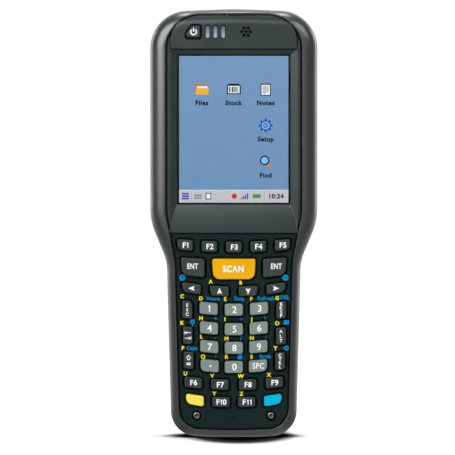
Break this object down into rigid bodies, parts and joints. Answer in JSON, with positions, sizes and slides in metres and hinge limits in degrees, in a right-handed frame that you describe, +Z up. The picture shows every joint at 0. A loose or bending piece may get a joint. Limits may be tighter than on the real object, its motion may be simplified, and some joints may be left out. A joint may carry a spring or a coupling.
{
  "type": "portable barcode data terminal",
  "caption": "Hand-held data terminal with a portrait touch screen, a numeric keypad, a scan window in its nose and a clip-in battery in its back.",
  "frame": {"origin": "under the middle of the case, on the surface that its foot stands on", "axes": "+Z up along the case to the nose, the screen and keys face -Y, +X is to the right as they are read"},
  "size_m": [0.076, 0.04, 0.1945],
  "materials": {
    "case": "dark grey-green plastic with a fine grain",
    "bezel": "dark grey plastic with a satin face",
    "plate": "near black satin plastic",
    "glass": "clear touch glass",
    "screen": "lit liquid crystal screen",
    "lamp": "milky light pipe",
    "mat": "silicone rubber",
    "seal": "black rubber",
    "board": "green circuit board",
    "battery": "dark grey plastic with a fine grain",
    "latch": "dark plastic",
    "window": "dark red window",
    "engine": "black plastic",
    "transducer": "steel can",
    "steel": "plated steel",
    "connector": "black plastic",
    "contact": "gold plated",
    "dark_key": "satin dark grey key",
    "grey_key": "satin mid grey key",
    "orange_key": "satin orange key",
    "yellow_key": "satin yellow key",
    "blue_key": "satin blue key"
  },
  "bodies": {
    "root": {"front_frame": "case", "rear_housing": "case", "display_bezel": "bezel", "keypad_plate": "plate", "touch_panel": "glass", "lcd_module": "screen", "led_lenses": "lamp", "keymat": "mat", "case_seal": "seal", "main_board": "board", "battery_pack": "battery", "scan_window": "window", "scan_engine": "engine", "speaker": "transducer", "microphone": "transducer", "front_screws": "steel", "rear_screws": "steel", "strap_bars": "steel", "dock_connector": "connector", "contact_pins": "contact"},
    "key_f1": {"key_f1": "dark_key"},
    "key_f2": {"key_f2": "dark_key"},
    "key_f3": {"key_f3": "dark_key"},
    "key_f4": {"key_f4": "dark_key"},
    "key_f5": {"key_f5": "dark_key"},
    "key_f6": {"key_f6": "dark_key"},
    "key_f7": {"key_f7": "dark_key"},
    "key_f8": {"key_f8": "dark_key"},
    "key_f9": {"key_f9": "dark_key"},
    "key_f10": {"key_f10": "dark_key"},
    "key_f11": {"key_f11": "dark_key"},
    "key_enter_left": {"key_enter_left": "dark_key"},
    "key_enter_right": {"key_enter_right": "dark_key"},
    "key_left": {"key_left": "dark_key"},
    "key_up": {"key_up": "dark_key"},
    "key_down": {"key_down": "dark_key"},
    "key_right": {"key_right": "dark_key"},
    "key_escape": {"key_escape": "dark_key"},
    "key_tab": {"key_tab": "dark_key"},
    "key_shift": {"key_shift": "dark_key"},
    "key_backspace": {"key_backspace": "dark_key"},
    "key_alt": {"key_alt": "dark_key"},
    "key_ctrl": {"key_ctrl": "dark_key"},
    "key_0": {"key_0": "grey_key"},
    "key_1": {"key_1": "grey_key"},
    "key_2": {"key_2": "grey_key"},
    "key_3": {"key_3": "grey_key"},
    "key_4": {"key_4": "grey_key"},
    "key_5": {"key_5": "grey_key"},
    "key_6": {"key_6": "grey_key"},
    "key_7": {"key_7": "grey_key"},
    "key_8": {"key_8": "grey_key"},
    "key_9": {"key_9": "grey_key"},
    "key_dot": {"key_dot": "grey_key"},
    "key_space": {"key_space": "grey_key"},
    "key_scan": {"key_scan": "orange_key"},
    "key_yellow": {"key_yellow": "yellow_key"},
    "key_blue": {"key_blue": "blue_key"},
    "key_power": {"key_power": "dark_key"},
    "battery_latch": {"battery_latch": "latch"}
  },
  "joints": [
    {"name": "key_f1_press", "type": "slide", "parent": "root", "child": "key_f1", "axis": [0, 1, 0], "range_m": [0, 0.001], "stiffness_N_per_m": 400},
    {"name": "key_f2_press", "type": "slide", "parent": "root", "child": "key_f2", "axis": [0, 1, 0], "range_m": [0, 0.001], "stiffness_N_per_m": 400},
    {"name": "key_f3_press", "type": "slide", "parent": "root", "child": "key_f3", "axis": [0, 1, 0], "range_m": [0, 0.001], "stiffness_N_per_m": 400},
    {"name": "key_f4_press", "type": "slide", "parent": "root", "child": "key_f4", "axis": [0, 1, 0], "range_m": [0, 0.001], "stiffness_N_per_m": 400},
    {"name": "key_f5_press", "type": "slide", "parent": "root", "child": "key_f5", "axis": [0, 1, 0], "range_m": [0, 0.001], "stiffness_N_per_m": 400},
    {"name": "key_f6_press", "type": "slide", "parent": "root", "child": "key_f6", "axis": [0, 1, 0], "range_m": [0, 0.001], "stiffness_N_per_m": 400},
    {"name": "key_f7_press", "type": "slide", "parent": "root", "child": "key_f7", "axis": [0, 1, 0], "range_m": [0, 0.001], "stiffness_N_per_m": 400},
    {"name": "key_f8_press", "type": "slide", "parent": "root", "child": "key_f8", "axis": [0, 1, 0], "range_m": [0, 0.001], "stiffness_N_per_m": 400},
    {"name": "key_f9_press", "type": "slide", "parent": "root", "child": "key_f9", "axis": [0, 1, 0], "range_m": [0, 0.001], "stiffness_N_per_m": 400},
    {"name": "key_f10_press", "type": "slide", "parent": "root", "child": "key_f10", "axis": [0, 1, 0], "range_m": [0, 0.001], "stiffness_N_per_m": 400},
    {"name": "key_f11_press", "type": "slide", "parent": "root", "child": "key_f11", "axis": [0, 1, 0], "range_m": [0, 0.001], "stiffness_N_per_m": 400},
    {"name": "key_enter_left_press", "type": "slide", "parent": "root", "child": "key_enter_left", "axis": [0, 1, 0], "range_m": [0, 0.001], "stiffness_N_per_m": 400},
    {"name": "key_enter_right_press", "type": "slide", "parent": "root", "child": "key_enter_right", "axis": [0, 1, 0], "range_m": [0, 0.001], "stiffness_N_per_m": 400},
    {"name": "key_left_press", "type": "slide", "parent": "root", "child": "key_left", "axis": [0, 1, 0], "range_m": [0, 0.001], "stiffness_N_per_m": 400},
    {"name": "key_up_press", "type": "slide", "parent": "root", "child": "key_up", "axis": [0, 1, 0], "range_m": [0, 0.001], "stiffness_N_per_m": 400},
    {"name": "key_down_press", "type": "slide", "parent": "root", "child": "key_down", "axis": [0, 1, 0], "range_m": [0, 0.001], "stiffness_N_per_m": 400},
    {"name": "key_right_press", "type": "slide", "parent": "root", "child": "key_right", "axis": [0, 1, 0], "range_m": [0, 0.001], "stiffness_N_per_m": 400},
    {"name": "key_escape_press", "type": "slide", "parent": "root", "child": "key_escape", "axis": [0, 1, 0], "range_m": [0, 0.001], "stiffness_N_per_m": 400},
    {"name": "key_tab_press", "type": "slide", "parent": "root", "child": "key_tab", "axis": [0, 1, 0], "range_m": [0, 0.001], "stiffness_N_per_m": 400},
    {"name": "key_shift_press", "type": "slide", "parent": "root", "child": "key_shift", "axis": [0, 1, 0], "range_m": [0, 0.001], "stiffness_N_per_m": 400},
    {"name": "key_backspace_press", "type": "slide", "parent": "root", "child": "key_backspace", "axis": [0, 1, 0], "range_m": [0, 0.001], "stiffness_N_per_m": 400},
    {"name": "key_alt_press", "type": "slide", "parent": "root", "child": "key_alt", "axis": [0, 1, 0], "range_m": [0, 0.001], "stiffness_N_per_m": 400},
    {"name": "key_ctrl_press", "type": "slide", "parent": "root", "child": "key_ctrl", "axis": [0, 1, 0], "range_m": [0, 0.001], "stiffness_N_per_m": 400},
    {"name": "key_0_press", "type": "slide", "parent": "root", "child": "key_0", "axis": [0, 1, 0], "range_m": [0, 0.001], "stiffness_N_per_m": 400},
    {"name": "key_1_press", "type": "slide", "parent": "root", "child": "key_1", "axis": [0, 1, 0], "range_m": [0, 0.001], "stiffness_N_per_m": 400},
    {"name": "key_2_press", "type": "slide", "parent": "root", "child": "key_2", "axis": [0, 1, 0], "range_m": [0, 0.001], "stiffness_N_per_m": 400},
    {"name": "key_3_press", "type": "slide", "parent": "root", "child": "key_3", "axis": [0, 1, 0], "range_m": [0, 0.001], "stiffness_N_per_m": 400},
    {"name": "key_4_press", "type": "slide", "parent": "root", "child": "key_4", "axis": [0, 1, 0], "range_m": [0, 0.001], "stiffness_N_per_m": 400},
    {"name": "key_5_press", "type": "slide", "parent": "root", "child": "key_5", "axis": [0, 1, 0], "range_m": [0, 0.001], "stiffness_N_per_m": 400},
    {"name": "key_6_press", "type": "slide", "parent": "root", "child": "key_6", "axis": [0, 1, 0], "range_m": [0, 0.001], "stiffness_N_per_m": 400},
    {"name": "key_7_press", "type": "slide", "parent": "root", "child": "key_7", "axis": [0, 1, 0], "range_m": [0, 0.001], "stiffness_N_per_m": 400},
    {"name": "key_8_press", "type": "slide", "parent": "root", "child": "key_8", "axis": [0, 1, 0], "range_m": [0, 0.001], "stiffness_N_per_m": 400},
    {"name": "key_9_press", "type": "slide", "parent": "root", "child": "key_9", "axis": [0, 1, 0], "range_m": [0, 0.001], "stiffness_N_per_m": 400},
    {"name": "key_dot_press", "type": "slide", "parent": "root", "child": "key_dot", "axis": [0, 1, 0], "range_m": [0, 0.001], "stiffness_N_per_m": 400},
    {"name": "key_space_press", "type": "slide", "parent": "root", "child": "key_space", "axis": [0, 1, 0], "range_m": [0, 0.001], "stiffness_N_per_m": 400},
    {"name": "key_scan_press", "type": "slide", "parent": "root", "child": "key_scan", "axis": [0, 1, 0], "range_m": [0, 0.001], "stiffness_N_per_m": 400},
    {"name": "key_yellow_press", "type": "slide", "parent": "root", "child": "key_yellow", "axis": [0, 1, 0], "range_m": [0, 0.001], "stiffness_N_per_m": 400},
    {"name": "key_blue_press", "type": "slide", "parent": "root", "child": "key_blue", "axis": [0, 1, 0], "range_m": [0, 0.001], "stiffness_N_per_m": 400},
    {"name": "key_power_press", "type": "slide", "parent": "root", "child": "key_power", "axis": [0, 1, 0], "range_m": [0, 0.001], "stiffness_N_per_m": 400},
    {"name": "battery_latch_slide", "type": "slide", "parent": "root", "child": "battery_latch", "axis": [0, 0, 1], "range_m": [0, 0.003], "stiffness_N_per_m": 300}
  ]
}
